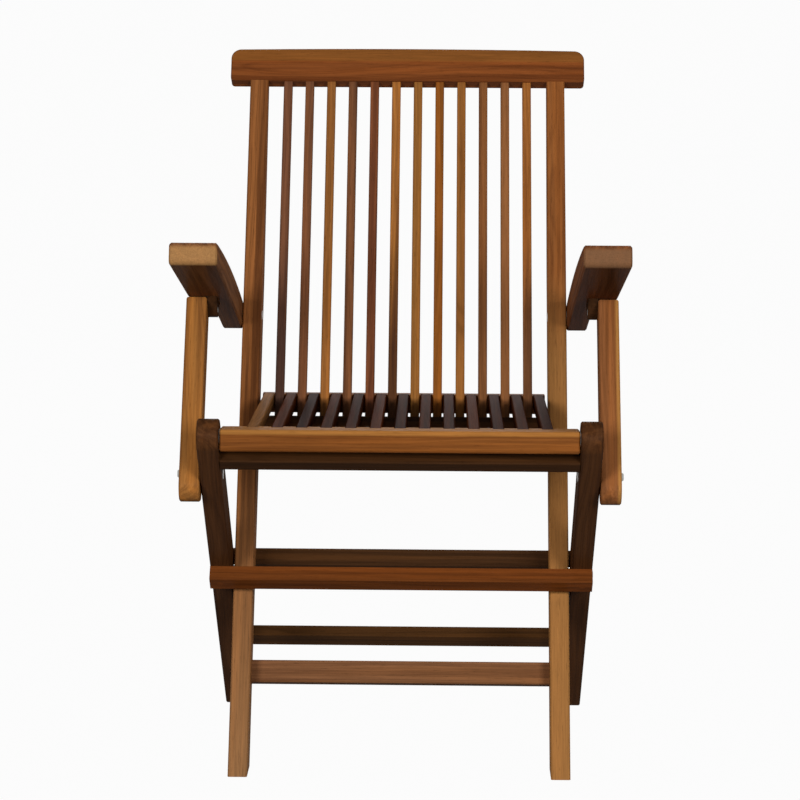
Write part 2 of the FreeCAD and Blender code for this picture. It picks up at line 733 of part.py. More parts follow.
def make_arm():
    """Arched arm board: round at the hinge, thinner and wider to the front, nose rounded."""
    nose = ARM_NOSE
    k = 1.0 - math.sqrt(0.5)
    length, front = ARM_LENGTH, ARM_FRONT_THICK
    middle_top = (ARM_REAR_THICK + front) / 2 + ARM_ARCH
    outline = [
        arm_point(0.0, 0.0),
        (arm_point(-ARM_REAR_RADIUS, ARM_REAR_RADIUS), arm_point(0.0, ARM_REAR_THICK)),
        (arm_point(length / 2, middle_top), arm_point(length - nose, front)),
        (arm_point(length - nose * k, front - nose * k), arm_point(length, front - nose)),
        arm_point(length, nose),
        (arm_point(length - nose * k, nose * k), arm_point(length - nose, 0.0)),
    ]
    side = prism(outline, ARM_INNER, ARM_INNER + ARM_FRONT_WIDTH + THROUGH)
    body = ease(side.common(arm_plan()), ARM_EDGE, lambda edge: not stands_across(edge))
    hole = rod(ARM_INNER - THROUGH, ARM_INNER + ARM_REAR_WIDTH + THROUGH, ARM_PIVOT, HOLE_RADIUS)
    return body.cut(hole)


def make_post():
    """Arm post: its head is square in front and round behind, so that it turns under the arm."""
    half = POST_DEPTH / 2
    low = -(POST_TAIL - half)
    corner = cross(post_point(0.0, -half), POST_DIR, arm_point(0.0, -POST_HEAD_GAP), ARM_DIR)
    up = (math.sin(ARM_SLOPE), math.cos(ARM_SLOPE))
    back = (POST_DIR[1], -POST_DIR[0])
    size = math.hypot(up[0] + back[0], up[1] + back[1]) / POST_HEAD_RADIUS
    bend = (POST_HEAD[0] + (up[0] + back[0]) / size, POST_HEAD[1] + (up[1] + back[1]) / size)
    outline = [
        post_point(low, -half),
        corner,
        arm_point(POST_HEAD_FORWARD, -POST_HEAD_GAP),
        (bend, post_point(POST_LENGTH, half)),
        post_point(low, half),
        (post_point(low - half, 0.0), post_point(low, -half)),
    ]
    body = ease(prism(outline, POST_INNER, POST_OUTER), EDGE, runs_along)
    for pivot in (POST_HEAD, POST_PIVOT):
        body = body.cut(rod(POST_INNER - THROUGH, POST_OUTER + THROUGH, pivot, HOLE_RADIUS))
    return body


def make_cleat():
    """Cleat under the arm, inside the post: flat on the arm and round below the hinge pin."""
    side = CLEAT_ROUND * math.sqrt(0.5)
    reach = side + POST_HEAD_DROP + side
    outline = [
        arm_point(POST_HEAD_FORWARD - reach, 0.0),
        arm_point(POST_HEAD_FORWARD + reach, 0.0),
        arm_point(POST_HEAD_FORWARD + side, -POST_HEAD_DROP - side),
        (
            arm_point(POST_HEAD_FORWARD, -POST_HEAD_DROP - CLEAT_ROUND),
            arm_point(POST_HEAD_FORWARD - side, -POST_HEAD_DROP - side),
        ),
    ]
    body = prism(outline, CLEAT_INNER, CLEAT_INNER + CLEAT_THICK)
    return body.cut(rod(CLEAT_INNER - THROUGH, POST_INNER, POST_HEAD, HOLE_RADIUS))


def bolt(x_end, x_head, centre):
    """Bolt at +X, its head on the outside."""
    shank = rod(x_end, x_head, centre, BOLT_RADIUS)
    return shank.fuse(head(x_head, centre)).removeSplitter()


def bolt_and_nut(x_nut, x_head, centre):
    """Bolt with its six-sided nut drawn up on the inside."""
    nut = prism(hexagon(centre, NUT_RADIUS), x_nut - NUT_HEIGHT, x_nut)
    return bolt(x_nut - NUT_HEIGHT, x_head, centre).fuse(nut).removeSplitter()


def sleeve_nut(x_nut, x_end, centre):
    """Sleeve that lines the leg and takes the post bolt's end, with its flange inside."""
    flange = rod(x_nut - NUT_HEIGHT, x_nut, centre, NUT_RADIUS)
    return rod(x_nut - NUT_HEIGHT, x_end, centre, BOLT_RADIUS).fuse(flange).removeSplitter()


def group(shape):
    """The same piece on both sides, kept as separate solids of one node."""
    return Part.makeCompound([shape, mirrored(shape)])


def build():
    """Make every piece of the chair."""
    add_pair("stile", make_stile())
    add("top_rail", make_top_rail())
    add("lower_back_rail", make_lower_back_rail())
    add("front_stretcher", make_front_stretcher())
    for index, x_mid in enumerate(row(BACK_SLATS), start=1):
        add("back_slat_%02d" % index, make_back_slat(x_mid))
    add_pair("rear_leg", make_leg())
    add("front_stop_bar", make_front_stop_bar())
    add("stop_bar_screws", group(screw(0.0)))
    add("stop_bar_plugs", group(plug(0.0)))
    add("rear_stop_rail", make_rear_stop_rail())
    add("under_seat_rail", make_under_seat_rail())
    add("rear_stretcher", make_rear_stretcher())
    add("seat_front_rail", make_seat_front_rail())
    add("seat_rear_rail", make_seat_rear_rail())
    for index, x_mid in enumerate(row(SEAT_SLATS), start=1):
        add("seat_slat_%02d" % index, make_seat_slat(x_mid))
    add_pair("arm", make_arm())
    add_pair("arm_cleat", make_cleat())
    add_pair("arm_post", make_post())
    add("crossing_bolts", group(bolt_and_nut(NUT_SEAT, LEG_OUTER, CROSSING)))
    add("crossing_washers", group(washer(HALF_BACK_WIDTH, LEG_INNER, CROSSING)))
    add("arm_hinge_bolts", group(bolt_and_nut(NUT_SEAT, ARM_INNER + ARM_REAR_WIDTH, ARM_PIVOT)))
    add("arm_hinge_washers", group(washer(HALF_BACK_WIDTH, ARM_INNER, ARM_PIVOT)))
    add("seat_hinge_pins", group(rod(SEAT_RAIL_HALF - STOCK, LEG_INNER + SEAT_HOLE_DEPTH, SEAT_PIVOT, BOLT_RADIUS)))
    add("seat_hinge_washers", group(washer(SEAT_RAIL_HALF, LEG_INNER, SEAT_PIVOT)))
    add_pair("post_bolt", bolt(POST_INNER, POST_OUTER, POST_PIVOT))
    add("post_sleeve_nuts", group(sleeve_nut(SLEEVE_SEAT, POST_INNER - SLEEVE_END_GAP, POST_PIVOT)))
    add("post_washers", group(washer(LEG_OUTER, POST_INNER, POST_PIVOT)))
    add_pair("post_pin", rod(CLEAT_INNER, POST_OUTER, POST_HEAD, BOLT_RADIUS))


def write():
    """Move the chair so that its origin is the middle of its floor rectangle, and write it."""
    os.makedirs("parts", exist_ok=True)
    whole = Part.makeCompound(list(NODES.values())).optimalBoundingBox(False, False)
    shift = FreeCAD.Vector(0.0, -(whole.YMin + whole.YMax) / 2, 0.0)
    for name, shape in NODES.items():
        moved = shape.copy()
        moved.translate(shift)
        moved.exportStep("parts/%s.step" % name)
    print("size", round(whole.XLength, 1), round(whole.YLength, 1), round(whole.ZLength, 1), "low", round(whole.ZMin, 3))
    for name, spot in (
        ("crossing", CROSSING),
        ("seat hinge", SEAT_PIVOT),
        ("arm hinge", ARM_PIVOT),
        ("post bolt", POST_PIVOT),
        ("post head", POST_HEAD),
    ):
        print(name, round(spot[0] + shift.y, 4), round(spot[1], 4))
    print("shift", round(shift.y, 4))


build()
write()
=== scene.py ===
"""Looks of a folding teak armchair: oiled teak, stainless steel, a pale floor and soft light."""

import logging
import math
from dataclasses import dataclass, field
from enum import Enum
from typing import ClassVar

import bpy
from mathutils import Matrix, Vector


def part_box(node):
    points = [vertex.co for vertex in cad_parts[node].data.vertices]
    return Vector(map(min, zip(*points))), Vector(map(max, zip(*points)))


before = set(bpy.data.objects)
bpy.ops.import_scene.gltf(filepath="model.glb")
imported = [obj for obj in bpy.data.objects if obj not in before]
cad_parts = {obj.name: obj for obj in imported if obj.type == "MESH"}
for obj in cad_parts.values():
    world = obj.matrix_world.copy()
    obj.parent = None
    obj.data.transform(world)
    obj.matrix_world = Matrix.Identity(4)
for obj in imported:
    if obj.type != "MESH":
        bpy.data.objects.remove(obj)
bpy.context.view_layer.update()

log = logging.getLogger("armchair")
logging.basicConfig(level=logging.INFO, format="%(name)s: %(message)s")

MM = 0.001
WHITE = (1.0, 1.0, 1.0, 1.0)

Colour = tuple[float, float, float, float]
Point = tuple[float, float, float]


class Grain(Enum):
    """Lean of a piece's length from +Z towards +Y in degrees, or None for the chair's width."""

    WIDTH = None
    BACK = 28.4
    LEG = -44.7
    SEAT = 91.8
    ARM = -72.4
    POST = 30.0


def linear(hex_colour: str) -> Colour:
    """Turn an sRGB hex colour into linear red, green, blue and alpha.

    Args:
        hex_colour: Six hex digits after a hash.

    Returns:
        Linear values that a shader socket takes.
    """
    channels = [int(hex_colour[i:i + 2], 16) / 255.0 for i in (1, 3, 5)]
    straight = [c / 12.92 if c <= 0.04045 else ((c + 0.055) / 1.055) ** 2.4 for c in channels]
    return (straight[0], straight[1], straight[2], 1.0)


def blend(low: Colour, high: Colour, share: float) -> Colour:
    """Work out the colour between two.

    Args:
        low: Linear colour at a share of 0.
        high: Linear colour at a share of 1.
        share: How far to go from the first to the second.

    Returns:
        The linear colour between them.
    """
    return tuple(a + (b - a) * share for a, b in zip(low, high))


def node_material(name: str) -> bpy.types.Material:
    """Make a material with an empty node tree.

    Args:
        name: Name of the material.

    Returns:
        The new material.
    """
    material = bpy.data.materials.new(name)
    material.use_nodes = True
    material.node_tree.nodes.clear()
    return material


def add(
    tree: bpy.types.NodeTree,
    kind: str,
    links: dict | None = None,
    **settings,
) -> bpy.types.Node:
    """Add one node with its settings and its links.

    Args:
        tree: Node tree that takes the node.
        kind: Blender's name of the node type.
        links: Input name or number, to a value or an output socket.
        **settings: Attributes of the node itself.

    Returns:
        The new node.
    """
    node = tree.nodes.new(kind)
    for name, value in settings.items():
        setattr(node, name, value)
    for key, value in (links or {}).items():
        socket = node.inputs[key]
        if isinstance(value, bpy.types.NodeSocket):
            tree.links.new(value, socket)
        else:
            socket.default_value = value
    return node


def reckon(tree: bpy.types.NodeTree, operation: str, *terms) -> bpy.types.NodeSocket:
    """Do one step of arithmetic.

    Args:
        tree: Node tree that takes the node.
        operation: Blender's name of the operation.
        *terms: Values or output sockets.

    Returns:
        The result.
    """
    return add(tree, "ShaderNodeMath", dict(enumerate(terms)), operation=operation).outputs[0]


def remap(
    tree: bpy.types.NodeTree,
    value: bpy.types.NodeSocket,
    source: tuple[float, float],
    target: tuple[float, float],
) -> bpy.types.NodeSocket:
    """Map one range to another, held at its ends.

    Args:
        tree: Node tree that takes the node.
        value: The value to map.
        source: Where the value starts and ends.
        target: What these two become.

    Returns:
        The mapped value.
    """
    limits = {
        "Value": value,
        "From Min": source[0],
        "From Max": source[1],
        "To Min": target[0],
        "To Max": target[1],
    }
    return add(tree, "ShaderNodeMapRange", limits).outputs["Result"]


def set_stops(ramp: bpy.types.Node, stops: list[tuple[float, Colour]]) -> None:
    """Give a colour ramp its stops, with an easy change between them.

    Args:
        ramp: The colour ramp node.
        stops: Position and linear colour of each stop.
    """
    band = ramp.color_ramp
    band.interpolation = "EASE"
    while len(band.elements) > 1:
        band.elements.remove(band.elements[-1])
    band.elements[0].position, band.elements[0].color = stops[0]
    for position, colour in stops[1:]:
        band.elements.new(position).color = colour


@dataclass(frozen=True)
class Patches:
    """Noise whose patches are drawn out along the board.

    Attributes:
        across_mm: Size of a patch across the grain.
        along_mm: Size of a patch along the grain.
        detail: Octaves of finer noise.
        shift: Moves the pattern, so that layers differ.
    """

    across_mm: float
    along_mm: float
    detail: float
    shift: float


# Growth rings sway over the length of a forearm, and streaks run for half a metre. Fibres are
# threads 60 mm long, and pores are flecks 14 mm long.
SWAY = Patches(across_mm=70.0, along_mm=380.0, detail=1.5, shift=1.0)
GOLDEN_STREAKS = Patches(across_mm=13.0, along_mm=520.0, detail=1.5, shift=11.0)
DARK_STREAKS = Patches(across_mm=11.0, along_mm=480.0, detail=2.2, shift=3.0)
FIBRES = Patches(across_mm=1.6, along_mm=60.0, detail=3.0, shift=5.0)
PORES = Patches(across_mm=1.1, along_mm=14.0, detail=2.0, shift=9.0)


@dataclass(frozen=True)
class OiledTeak:
    """Plain-sawn teak, planed, sanded and oiled, with dark growth lines along its length.

    The oil leaves a satin sheen, and open pores and soft early wood keep it slightly rough.

    Attributes:
        name: Name of the material.
        early: Tone of the wood grown early in the year.
        late: Tone of the dark streaks and the late wood.
        grain: Where the board's length points.
        streak: Share of the late tone in a dark streak.
        seed: Number that sets this board apart from the others.
        ring_mm: Width of a growth ring.
        end_tone: Tone of the board's foot or front end, where it differs; the dark feet of some
        back slats are painted shade.
        end_axis: Axis along which that end lies.
        end_full_m: Place on the axis from which the end has its full tone.
        end_fades_m: Place on the axis where that tone has faded away.
        end_share: Share of that tone at its fullest.
        pale_edge_from_mm: Where a paler band starts across the board, or 0 for none; a minus sign
            on a wide rail means its upper edge, where the band is a painted highlight.
        pale_edge_tone: Tone of the paler band.
        pale_edge_share: Share of that tone in the band.
        coat: Weight of the oil's sheen.
    """

    name: str
    early: str
    late: str
    grain: Grain
    streak: float = 0.5
    seed: float = 0.0
    ring_mm: float = 6.5
    end_tone: str | None = None
    end_axis: str = "Z"
    end_full_m: float = 0.0
    end_fades_m: float = 0.2
    end_share: float = 0.75
    pale_edge_from_mm: float = 0.0
    pale_edge_tone: str = "#b88243"
    pale_edge_share: float = 0.7
    coat: float = 0.06

    # Growth rings: how far the heart lies beside the board, how far it sways, and their tones.
    HEART_MM: ClassVar[float] = 45.0
    SWAY_MM: ClassVar[float] = 34.0
    RING_CONTRAST: ClassVar[float] = 0.4
    RING_STOPS: ClassVar[tuple[float, ...]] = (0.0, 0.5, 0.88, 1.0)
    MID_SHARE: ClassVar[float] = 0.35
    # What sets the noise of one board, and the bearing of its heart, apart from the next.
    SEED_STEP: ClassVar[float] = 7.31
    BEARING_STEP: ClassVar[float] = 2.4
    SHIFT_PARTS: ClassVar[tuple[float, float, float]] = (1.0, 0.7, 1.3)
    NOISE_ROUGHNESS: ClassVar[float] = 0.55
    # Golden streaks, the noise at which streaks start and are full, and the paler band's border.
    GOLD_GAIN: ClassVar[Colour] = (1.45, 1.32, 1.05, 1.0)
    GOLD_SHARE: ClassVar[float] = 0.5
    GOLD_EDGE: ClassVar[tuple[float, float]] = (0.46, 0.62)
    STREAK_EDGE: ClassVar[tuple[float, float]] = (0.46, 0.60)
    PALE_EDGE_FADE_MM: ClassVar[float] = 2.5
    # Fibres and pores: where their noise starts and ends, and how much they lighten or darken.
    FIBRE_EDGE: ClassVar[tuple[float, float]] = (0.3, 0.7)
    FIBRE_SHADE: ClassVar[tuple[float, float]] = (0.82, 1.12)
    PORE_EDGE: ClassVar[tuple[float, float]] = (0.60, 0.72)
    PORE_SHADE: ClassVar[tuple[float, float]] = (1.0, 0.72)
    # The planed and oiled surface.
    ROUGHNESS: ClassVar[tuple[float, float]] = (0.40, 0.60)
    RELIEF_MM: ClassVar[float] = 0.35
    RELIEF_STRENGTH: ClassVar[float] = 0.35
    COAT_ROUGHNESS: ClassVar[float] = 0.34

    def build(self, middle: Vector) -> bpy.types.Material:
        """Make the material.

        Args:
            middle: Middle of the board, in metres; the tree's heart lies beside it.

        Returns:
            The node material of this board.
        """
        material = node_material(self.name)
        tree = material.node_tree
        place = add(tree, "ShaderNodeTexCoord").outputs["Object"]
        turned = self._along_grain(tree, place, middle)
        colour = self._colour(tree, turned, self._figure(tree, turned))
        if self.pale_edge_from_mm:
            colour = self._pale_edge(tree, turned, colour)
        if self.end_tone:
            colour = self._toned_end(tree, place, colour)
        fibre = self._noise(tree, turned, FIBRES)
        fleck = self._noise(tree, turned, PORES)
        relief = {
            "Height": reckon(tree, "ADD", fibre, fleck),
            "Strength": self.RELIEF_STRENGTH,
            "Distance": self.RELIEF_MM * MM,
        }
        shader = add(
            tree,
            "ShaderNodeBsdfPrincipled",
            {
                "Base Color": self._pores(tree, colour, fibre, fleck),
                "Roughness": remap(tree, fibre, (0.0, 1.0), self.ROUGHNESS),
                "Specular IOR Level": 0.0,
                "Coat Weight": self.coat,
                "Coat Roughness": self.COAT_ROUGHNESS,
                "Normal": add(tree, "ShaderNodeBump", relief).outputs["Normal"],
            },
        )
        add(tree, "ShaderNodeOutputMaterial", {"Surface": shader.outputs["BSDF"]})
        return material

    def _along_grain(
        self,
        tree: bpy.types.NodeTree,
        place: bpy.types.NodeSocket,
        middle: Vector,
    ) -> bpy.types.NodeSocket:
        """Measure the place from the board's middle, turned so that Z runs along the board."""
        near = add(tree, "ShaderNodeVectorMath", {0: place, 1: tuple(middle)}, operation="SUBTRACT")
        if self.grain is Grain.WIDTH:
            turn = (0.0, math.radians(-90.0), 0.0)
        else:
            turn = (math.radians(self.grain.value), 0.0, 0.0)
        node = add(tree, "ShaderNodeMapping", {"Vector": near.outputs["Vector"], "Rotation": turn})
        return node.outputs["Vector"]

    def _noise(
        self,
        tree: bpy.types.NodeTree,
        turned: bpy.types.NodeSocket,
        patches: Patches,
    ) -> bpy.types.NodeSocket:
        """Noise drawn out along the board.

        Args:
            tree: Node tree of the material.
            turned: Place with Z along the board.
            patches: Size, detail and shift of the noise.

        Returns:
            The noise value, from 0 to 1.
        """
        across, along = 1.0 / (patches.across_mm * MM), 1.0 / (patches.along_mm * MM)
        offset = self.seed * self.SEED_STEP + patches.shift
        stretch = {
            "Vector": turned,
            "Scale": (across, across, along),
            "Location": tuple(offset * part for part in self.SHIFT_PARTS),
        }
        noise = {
            "Vector": add(tree, "ShaderNodeMapping", stretch).outputs["Vector"],
            "Scale": 1.0,
            "Detail": patches.detail,
            "Roughness": self.NOISE_ROUGHNESS,
        }
        return add(tree, "ShaderNodeTexNoise", noise).outputs["Fac"]

    def _figure(
        self, tree: bpy.types.NodeTree, turned: bpy.types.NodeSocket,
    ) -> bpy.types.NodeSocket:
        """Growth rings round the tree's heart, which sways a little along the board."""
        bearing, reach = self.seed * self.BEARING_STEP, self.HEART_MM * MM
        beside = {
            "Vector": turned,
            "Location": (reach * math.cos(bearing), reach * math.sin(bearing), 0.0),
            "Scale": (1.0, 1.0, 0.0),
        }
        flat = add(tree, "ShaderNodeMapping", beside).outputs["Vector"]
        radius = add(tree, "ShaderNodeVectorMath", {0: flat}, operation="LENGTH").outputs["Value"]
        sway = self._noise(tree, turned, SWAY)
        bent = reckon(tree, "MULTIPLY_ADD", sway, self.SWAY_MM * MM, radius)
        turns = reckon(tree, "MULTIPLY", bent, 2.0 * math.pi / (self.ring_mm * MM))
        return remap(tree, reckon(tree, "SINE", turns), (-1.0, 1.0), (0.0, 1.0))

    def _colour(
        self,
        tree: bpy.types.NodeTree,
        turned: bpy.types.NodeSocket,
        figure: bpy.types.NodeSocket,
    ) -> bpy.types.NodeSocket:
        """Early and late wood, then the golden and the dark streaks of the heartwood."""
        early, late = linear(self.early), linear(self.late)
        mid = blend(early, late, self.RING_CONTRAST * self.MID_SHARE)
        dark = blend(early, late, self.RING_CONTRAST)
        lines = add(tree, "ShaderNodeValToRGB", {"Fac": figure})
        set_stops(lines, list(zip(self.RING_STOPS, (early, mid, dark, mid))))
        light = self._noise(tree, turned, GOLDEN_STREAKS)
        golden = remap(tree, light, self.GOLD_EDGE, (0.0, self.GOLD_SHARE))
        gold = tuple(value * gain for value, gain in zip(early, self.GOLD_GAIN))
        warm = self._mix(tree, golden, lines.outputs["Color"], gold)
        broad = self._noise(tree, turned, DARK_STREAKS)
        amount = remap(tree, broad, self.STREAK_EDGE, (0.0, self.streak))
        return self._mix(tree, amount, warm, late)

    def _mix(
        self, tree: bpy.types.NodeTree, factor, low, high, blend_type: str = "MIX",
    ) -> bpy.types.NodeSocket:
        """Mix two colours.

        Args:
            tree: Node tree of the material.
            factor: Amount of the second colour, a value or a socket.
            low: First colour, a value or a socket.
            high: Second colour, a value or a socket.
            blend_type: Blender's name of the blend.

        Returns:
            The mixed colour.
        """
        colours = {0: factor, 6: low, 7: high}
        node = add(tree, "ShaderNodeMix", colours, data_type="RGBA", blend_type=blend_type)
        return node.outputs[2]

    def _pale_edge(
        self,
        tree: bpy.types.NodeTree,
        turned: bpy.types.NodeSocket,
        colour: bpy.types.NodeSocket,
    ) -> bpy.types.NodeSocket:
        """Paler band along one edge; on the rails' upper edges it is a painted highlight."""
        across = add(tree, "ShaderNodeSeparateXYZ", {"Vector": turned}).outputs["X"]
        full_mm = self.pale_edge_from_mm + math.copysign(self.PALE_EDGE_FADE_MM, self.pale_edge_from_mm)
        fade = (self.pale_edge_from_mm * MM, full_mm * MM)
        amount = remap(tree, across, fade, (0.0, self.pale_edge_share))
        return self._mix(tree, amount, colour, linear(self.pale_edge_tone))

    def _toned_end(
        self,
        tree: bpy.types.NodeTree,
        place: bpy.types.NodeSocket,
        colour: bpy.types.NodeSocket,
    ) -> bpy.types.NodeSocket:
        """Paler or darker foot or front end; a back slat's darker foot is painted shade."""
        along = add(tree, "ShaderNodeSeparateXYZ", {"Vector": place}).outputs[self.end_axis]
        fade = (self.end_fades_m, self.end_full_m)
        amount = remap(tree, along, fade, (0.0, self.end_share))
        return self._mix(tree, amount, colour, linear(self.end_tone))

    def _pores(
        self,
        tree: bpy.types.NodeTree,
        colour: bpy.types.NodeSocket,
        fibre: bpy.types.NodeSocket,
        fleck: bpy.types.NodeSocket,
    ) -> bpy.types.NodeSocket:
        """Fibres and pores; real pores are 0.3 mm wide and are drawn about 1 mm wide to show."""
        thread = remap(tree, fibre, self.FIBRE_EDGE, self.FIBRE_SHADE)
        tint = self._mix(tree, 1.0, colour, self._grey(tree, thread), "MULTIPLY")
        pore = remap(tree, fleck, self.PORE_EDGE, self.PORE_SHADE)
        return self._mix(tree, 1.0, tint, self._grey(tree, pore), "MULTIPLY")

    def _grey(
        self, tree: bpy.types.NodeTree, value: bpy.types.NodeSocket,
    ) -> bpy.types.NodeSocket:
        """A grey of the given value."""
        return add(tree, "ShaderNodeCombineColor", {0: value, 1: value, 2: value}).outputs["Color"]


@dataclass(frozen=True)
class PolishedStainless:
    """Stainless steel, turned and polished: bright, with faint turning marks.

    Attributes:
        name: Name of the material.
        tint: Tone of the bright metal.
        marks_mm: Size of a turning mark.
        relief_mm: Height of the marks.
        roughness: Roughness where the noise is lowest, and where it is highest.
        dull_share: Brightness of the dull spots beside the bright ones.
        stops: Noise at which a spot is dull, and at which it is bright.
        relief_strength: Strength of the marks' relief.
    """

    name: str = "polished_stainless_steel"
    tint: str = "#a09e99"
    marks_mm: float = 0.8
    relief_mm: float = 0.05
    roughness: tuple[float, float] = (0.26, 0.40)
    dull_share: float = 0.86
    stops: tuple[float, float] = (0.3, 0.7)
    relief_strength: float = 0.15

    def build(self) -> bpy.types.Material:
        """Make the material.

        Returns:
            The node material of the fasteners.
        """
        material = node_material(self.name)
        tree = material.node_tree
        place = add(tree, "ShaderNodeTexCoord").outputs["Object"]
        noise = {"Vector": place, "Scale": 1.0 / (self.marks_mm * MM), "Detail": 3.0}
        marks = add(tree, "ShaderNodeTexNoise", noise).outputs["Fac"]
        shade = add(tree, "ShaderNodeValToRGB", {"Fac": marks})
        bright = linear(self.tint)
        dull = tuple(value * self.dull_share for value in bright[:3]) + (1.0,)
        set_stops(shade, list(zip(self.stops, (dull, bright))))
        relief = {
            "Height": marks,
            "Strength": self.relief_strength,
            "Distance": self.relief_mm * MM,
        }
        shader = add(
            tree,
            "ShaderNodeBsdfPrincipled",
            {
                "Base Color": shade.outputs["Color"],
                "Metallic": 1.0,
                "Roughness": remap(tree, marks, (0.0, 1.0), self.roughness),
                "Normal": add(tree, "ShaderNodeBump", relief).outputs["Normal"],
            },
        )
        add(tree, "ShaderNodeOutputMaterial", {"Surface": shader.outputs["BSDF"]})
        return material


def dress(node: str, material: bpy.types.Material) -> None:
    """Give a piece of the frame its finish.

    Args:
        node: Name of the piece.
        material: Finish for all its faces.
    """
    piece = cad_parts[node]
    for place in range(max(1, len(piece.material_slots))):
        if piece.material_slots:
            piece.material_slots[place].material = material
        else:
            piece.data.materials.append(material)
    log.info("%s: %s", node, material.name)


def board(node: str, finish: OiledTeak) -> None:
    """Give a wooden piece of the frame its own board's finish.

    Args:
        node: Name of the piece.
        finish: Finish of the board that it is cut from.
    """
    low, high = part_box(node)
    dress(node, finish.build((Vector(low) + Vector(high)) / 2.0))


@dataclass(frozen=True)
class BackFrame:
    """Stiles, rails and slats of the back.

    Attributes:
        slat_tones: Early tone, late tone and streaks of each slat, from the left.
        slat_feet_painted_shade: Darker tone at the foot of some slats, by their number: painted
            shade
        towards the seat.
    """

    slat_tones: list[tuple[str, str, float]] = field(default_factory=lambda: [
        ("#7c5037", "#44281d", 0.75),
        ("#794e34", "#45291d", 0.45),
        ("#996332", "#663e1e", 0.30),
        ("#774d32", "#3f2519", 0.50),
        ("#854e30", "#46261a", 0.55),
        ("#ac6f36", "#3c2218", 0.55),
        ("#986531", "#6a411e", 0.25),
        ("#905623", "#633716", 0.30),
        ("#996331", "#613b1a", 0.35),
        ("#7f5230", "#4c2c19", 0.40),
        ("#895b39", "#5b361d", 0.40),
        ("#a56832", "#663618", 0.50),
    ])
    # Painted shade: these slats are darkened at their feet, towards the seat.
    slat_feet_painted_shade: dict[int, str] = field(default_factory=lambda: {
        1: "#4a3630",
        6: "#2b1a19",
        12: "#6e4a33",
    })

    def build(self) -> None:
        """Dress the pieces of the back."""
        board("left_stile", OiledTeak(
            "teak_left_stile", "#985f33", "#4d2a16", Grain.BACK, streak=0.7, seed=1.0,
            end_tone="#9c724a", end_full_m=0.0, end_fades_m=0.42))
        board("right_stile", OiledTeak(
            "teak_right_stile", "#955c30", "#562d15", Grain.BACK, streak=0.45, seed=2.0,
            end_tone="#a87641", end_full_m=0.50, end_fades_m=0.62, end_share=0.75))
        # The paler band along the top rail's upper edge is painted light: a lighter top edge where
        # light falls.
        board("top_rail", OiledTeak(
            "teak_top_rail", "#834923", "#532811", Grain.WIDTH, streak=0.45, seed=3.0, ring_mm=6.0,
            pale_edge_from_mm=-9.0, pale_edge_tone="#8c5a28", pale_edge_share=0.6))
        # Painted shade: the lower back rail's dark tone stands for the seat's shadow on it.
        board("lower_back_rail", OiledTeak(
            "teak_lower_back_rail", "#54351f", "#301c10", Grain.WIDTH, streak=0.5, seed=4.0))
        board("front_stretcher", OiledTeak(
            "teak_front_stretcher", "#835839", "#50301d", Grain.WIDTH, streak=0.4, seed=5.0))
        for number, (early, late, streak) in enumerate(self.slat_tones, start=1):
            name = "back_slat_%02d" % number
            board(name, OiledTeak(
                "teak_" + name, early, late, Grain.BACK, streak=streak, seed=10.0 + number,
                ring_mm=5.0, end_tone=self.slat_feet_painted_shade.get(number), end_full_m=0.52,
                end_fades_m=0.66))


@dataclass(frozen=True)
class LegFrame:
    """Rear legs and the bars that join them."""

    def build(self) -> None:
        """Dress the legs and their bars."""
        for seed, side in ((20.0, "left"), (21.0, "right")):
            board(side + "_rear_leg", OiledTeak(
                "teak_%s_rear_leg" % side, "#53331c", "#2d170a", Grain.LEG, streak=0.5, seed=seed))
        tones = {
            "front_stop_bar": ("#6f3c19", "#44210c"),
            "rear_stop_rail": ("#4b301b", "#27170c"),
            "under_seat_rail": ("#402714", "#241409"),
            "rear_stretcher": ("#51341b", "#2d1b0c"),
            "stop_bar_plugs": ("#6f3c19", "#44210c"),
        }
        for seed, (node, (early, late)) in enumerate(tones.items(), start=22):
            board(node, OiledTeak(
                "teak_" + node, early, late, Grain.WIDTH, streak=0.4, seed=float(seed)))


@dataclass(frozen=True)
class Seat:
    """Slatted seat.

    Attributes:
        tones: Early tone, late tone and streaks of the slats, taken in turn.
        outer_tone_painted_light: The same for the outer slat on the left, lighter than the others
            as
        painted light.
    """

    tones: list[tuple[str, str, float]] = field(default_factory=lambda: [
        ("#44200d", "#240d04", 0.5),
        ("#3a1a0c", "#1e0b04", 0.6),
        ("#4a230e", "#281105", 0.4),
        ("#3f1d0d", "#200d05", 0.5),
    ])
    # Painted light: the outer left slat's lighter tone stands for light falling on it.
    outer_tone_painted_light: tuple[str, str, float] = ("#8f6238", "#4a2f1a", 0.4)

    def build(self) -> None:
        """Dress the rails and slats of the seat."""
        # The golden band along the front rail's upper edge is a painted highlight on its top arris.
        board("seat_front_rail", OiledTeak(
            "teak_seat_front_rail", "#865024", "#542c12", Grain.WIDTH, streak=0.45, seed=30.0,
            ring_mm=5.0, pale_edge_from_mm=-7.5, pale_edge_tone="#b27a3c", pale_edge_share=0.6))
        board("seat_rear_rail", OiledTeak(
            "teak_seat_rear_rail", "#7a4d2c", "#452816", Grain.WIDTH, streak=0.45, seed=31.0))
        for number in range(1, 14):
            early, late, streak = self.outer_tone_painted_light
            if number > 1:
                early, late, streak = self.tones[number * 3 % len(self.tones)]
            name = "seat_slat_%02d" % number
            board(name, OiledTeak(
                "teak_" + name, early, late, Grain.SEAT, streak=streak, seed=32.0 + number,
                ring_mm=4.0, coat=0.025))


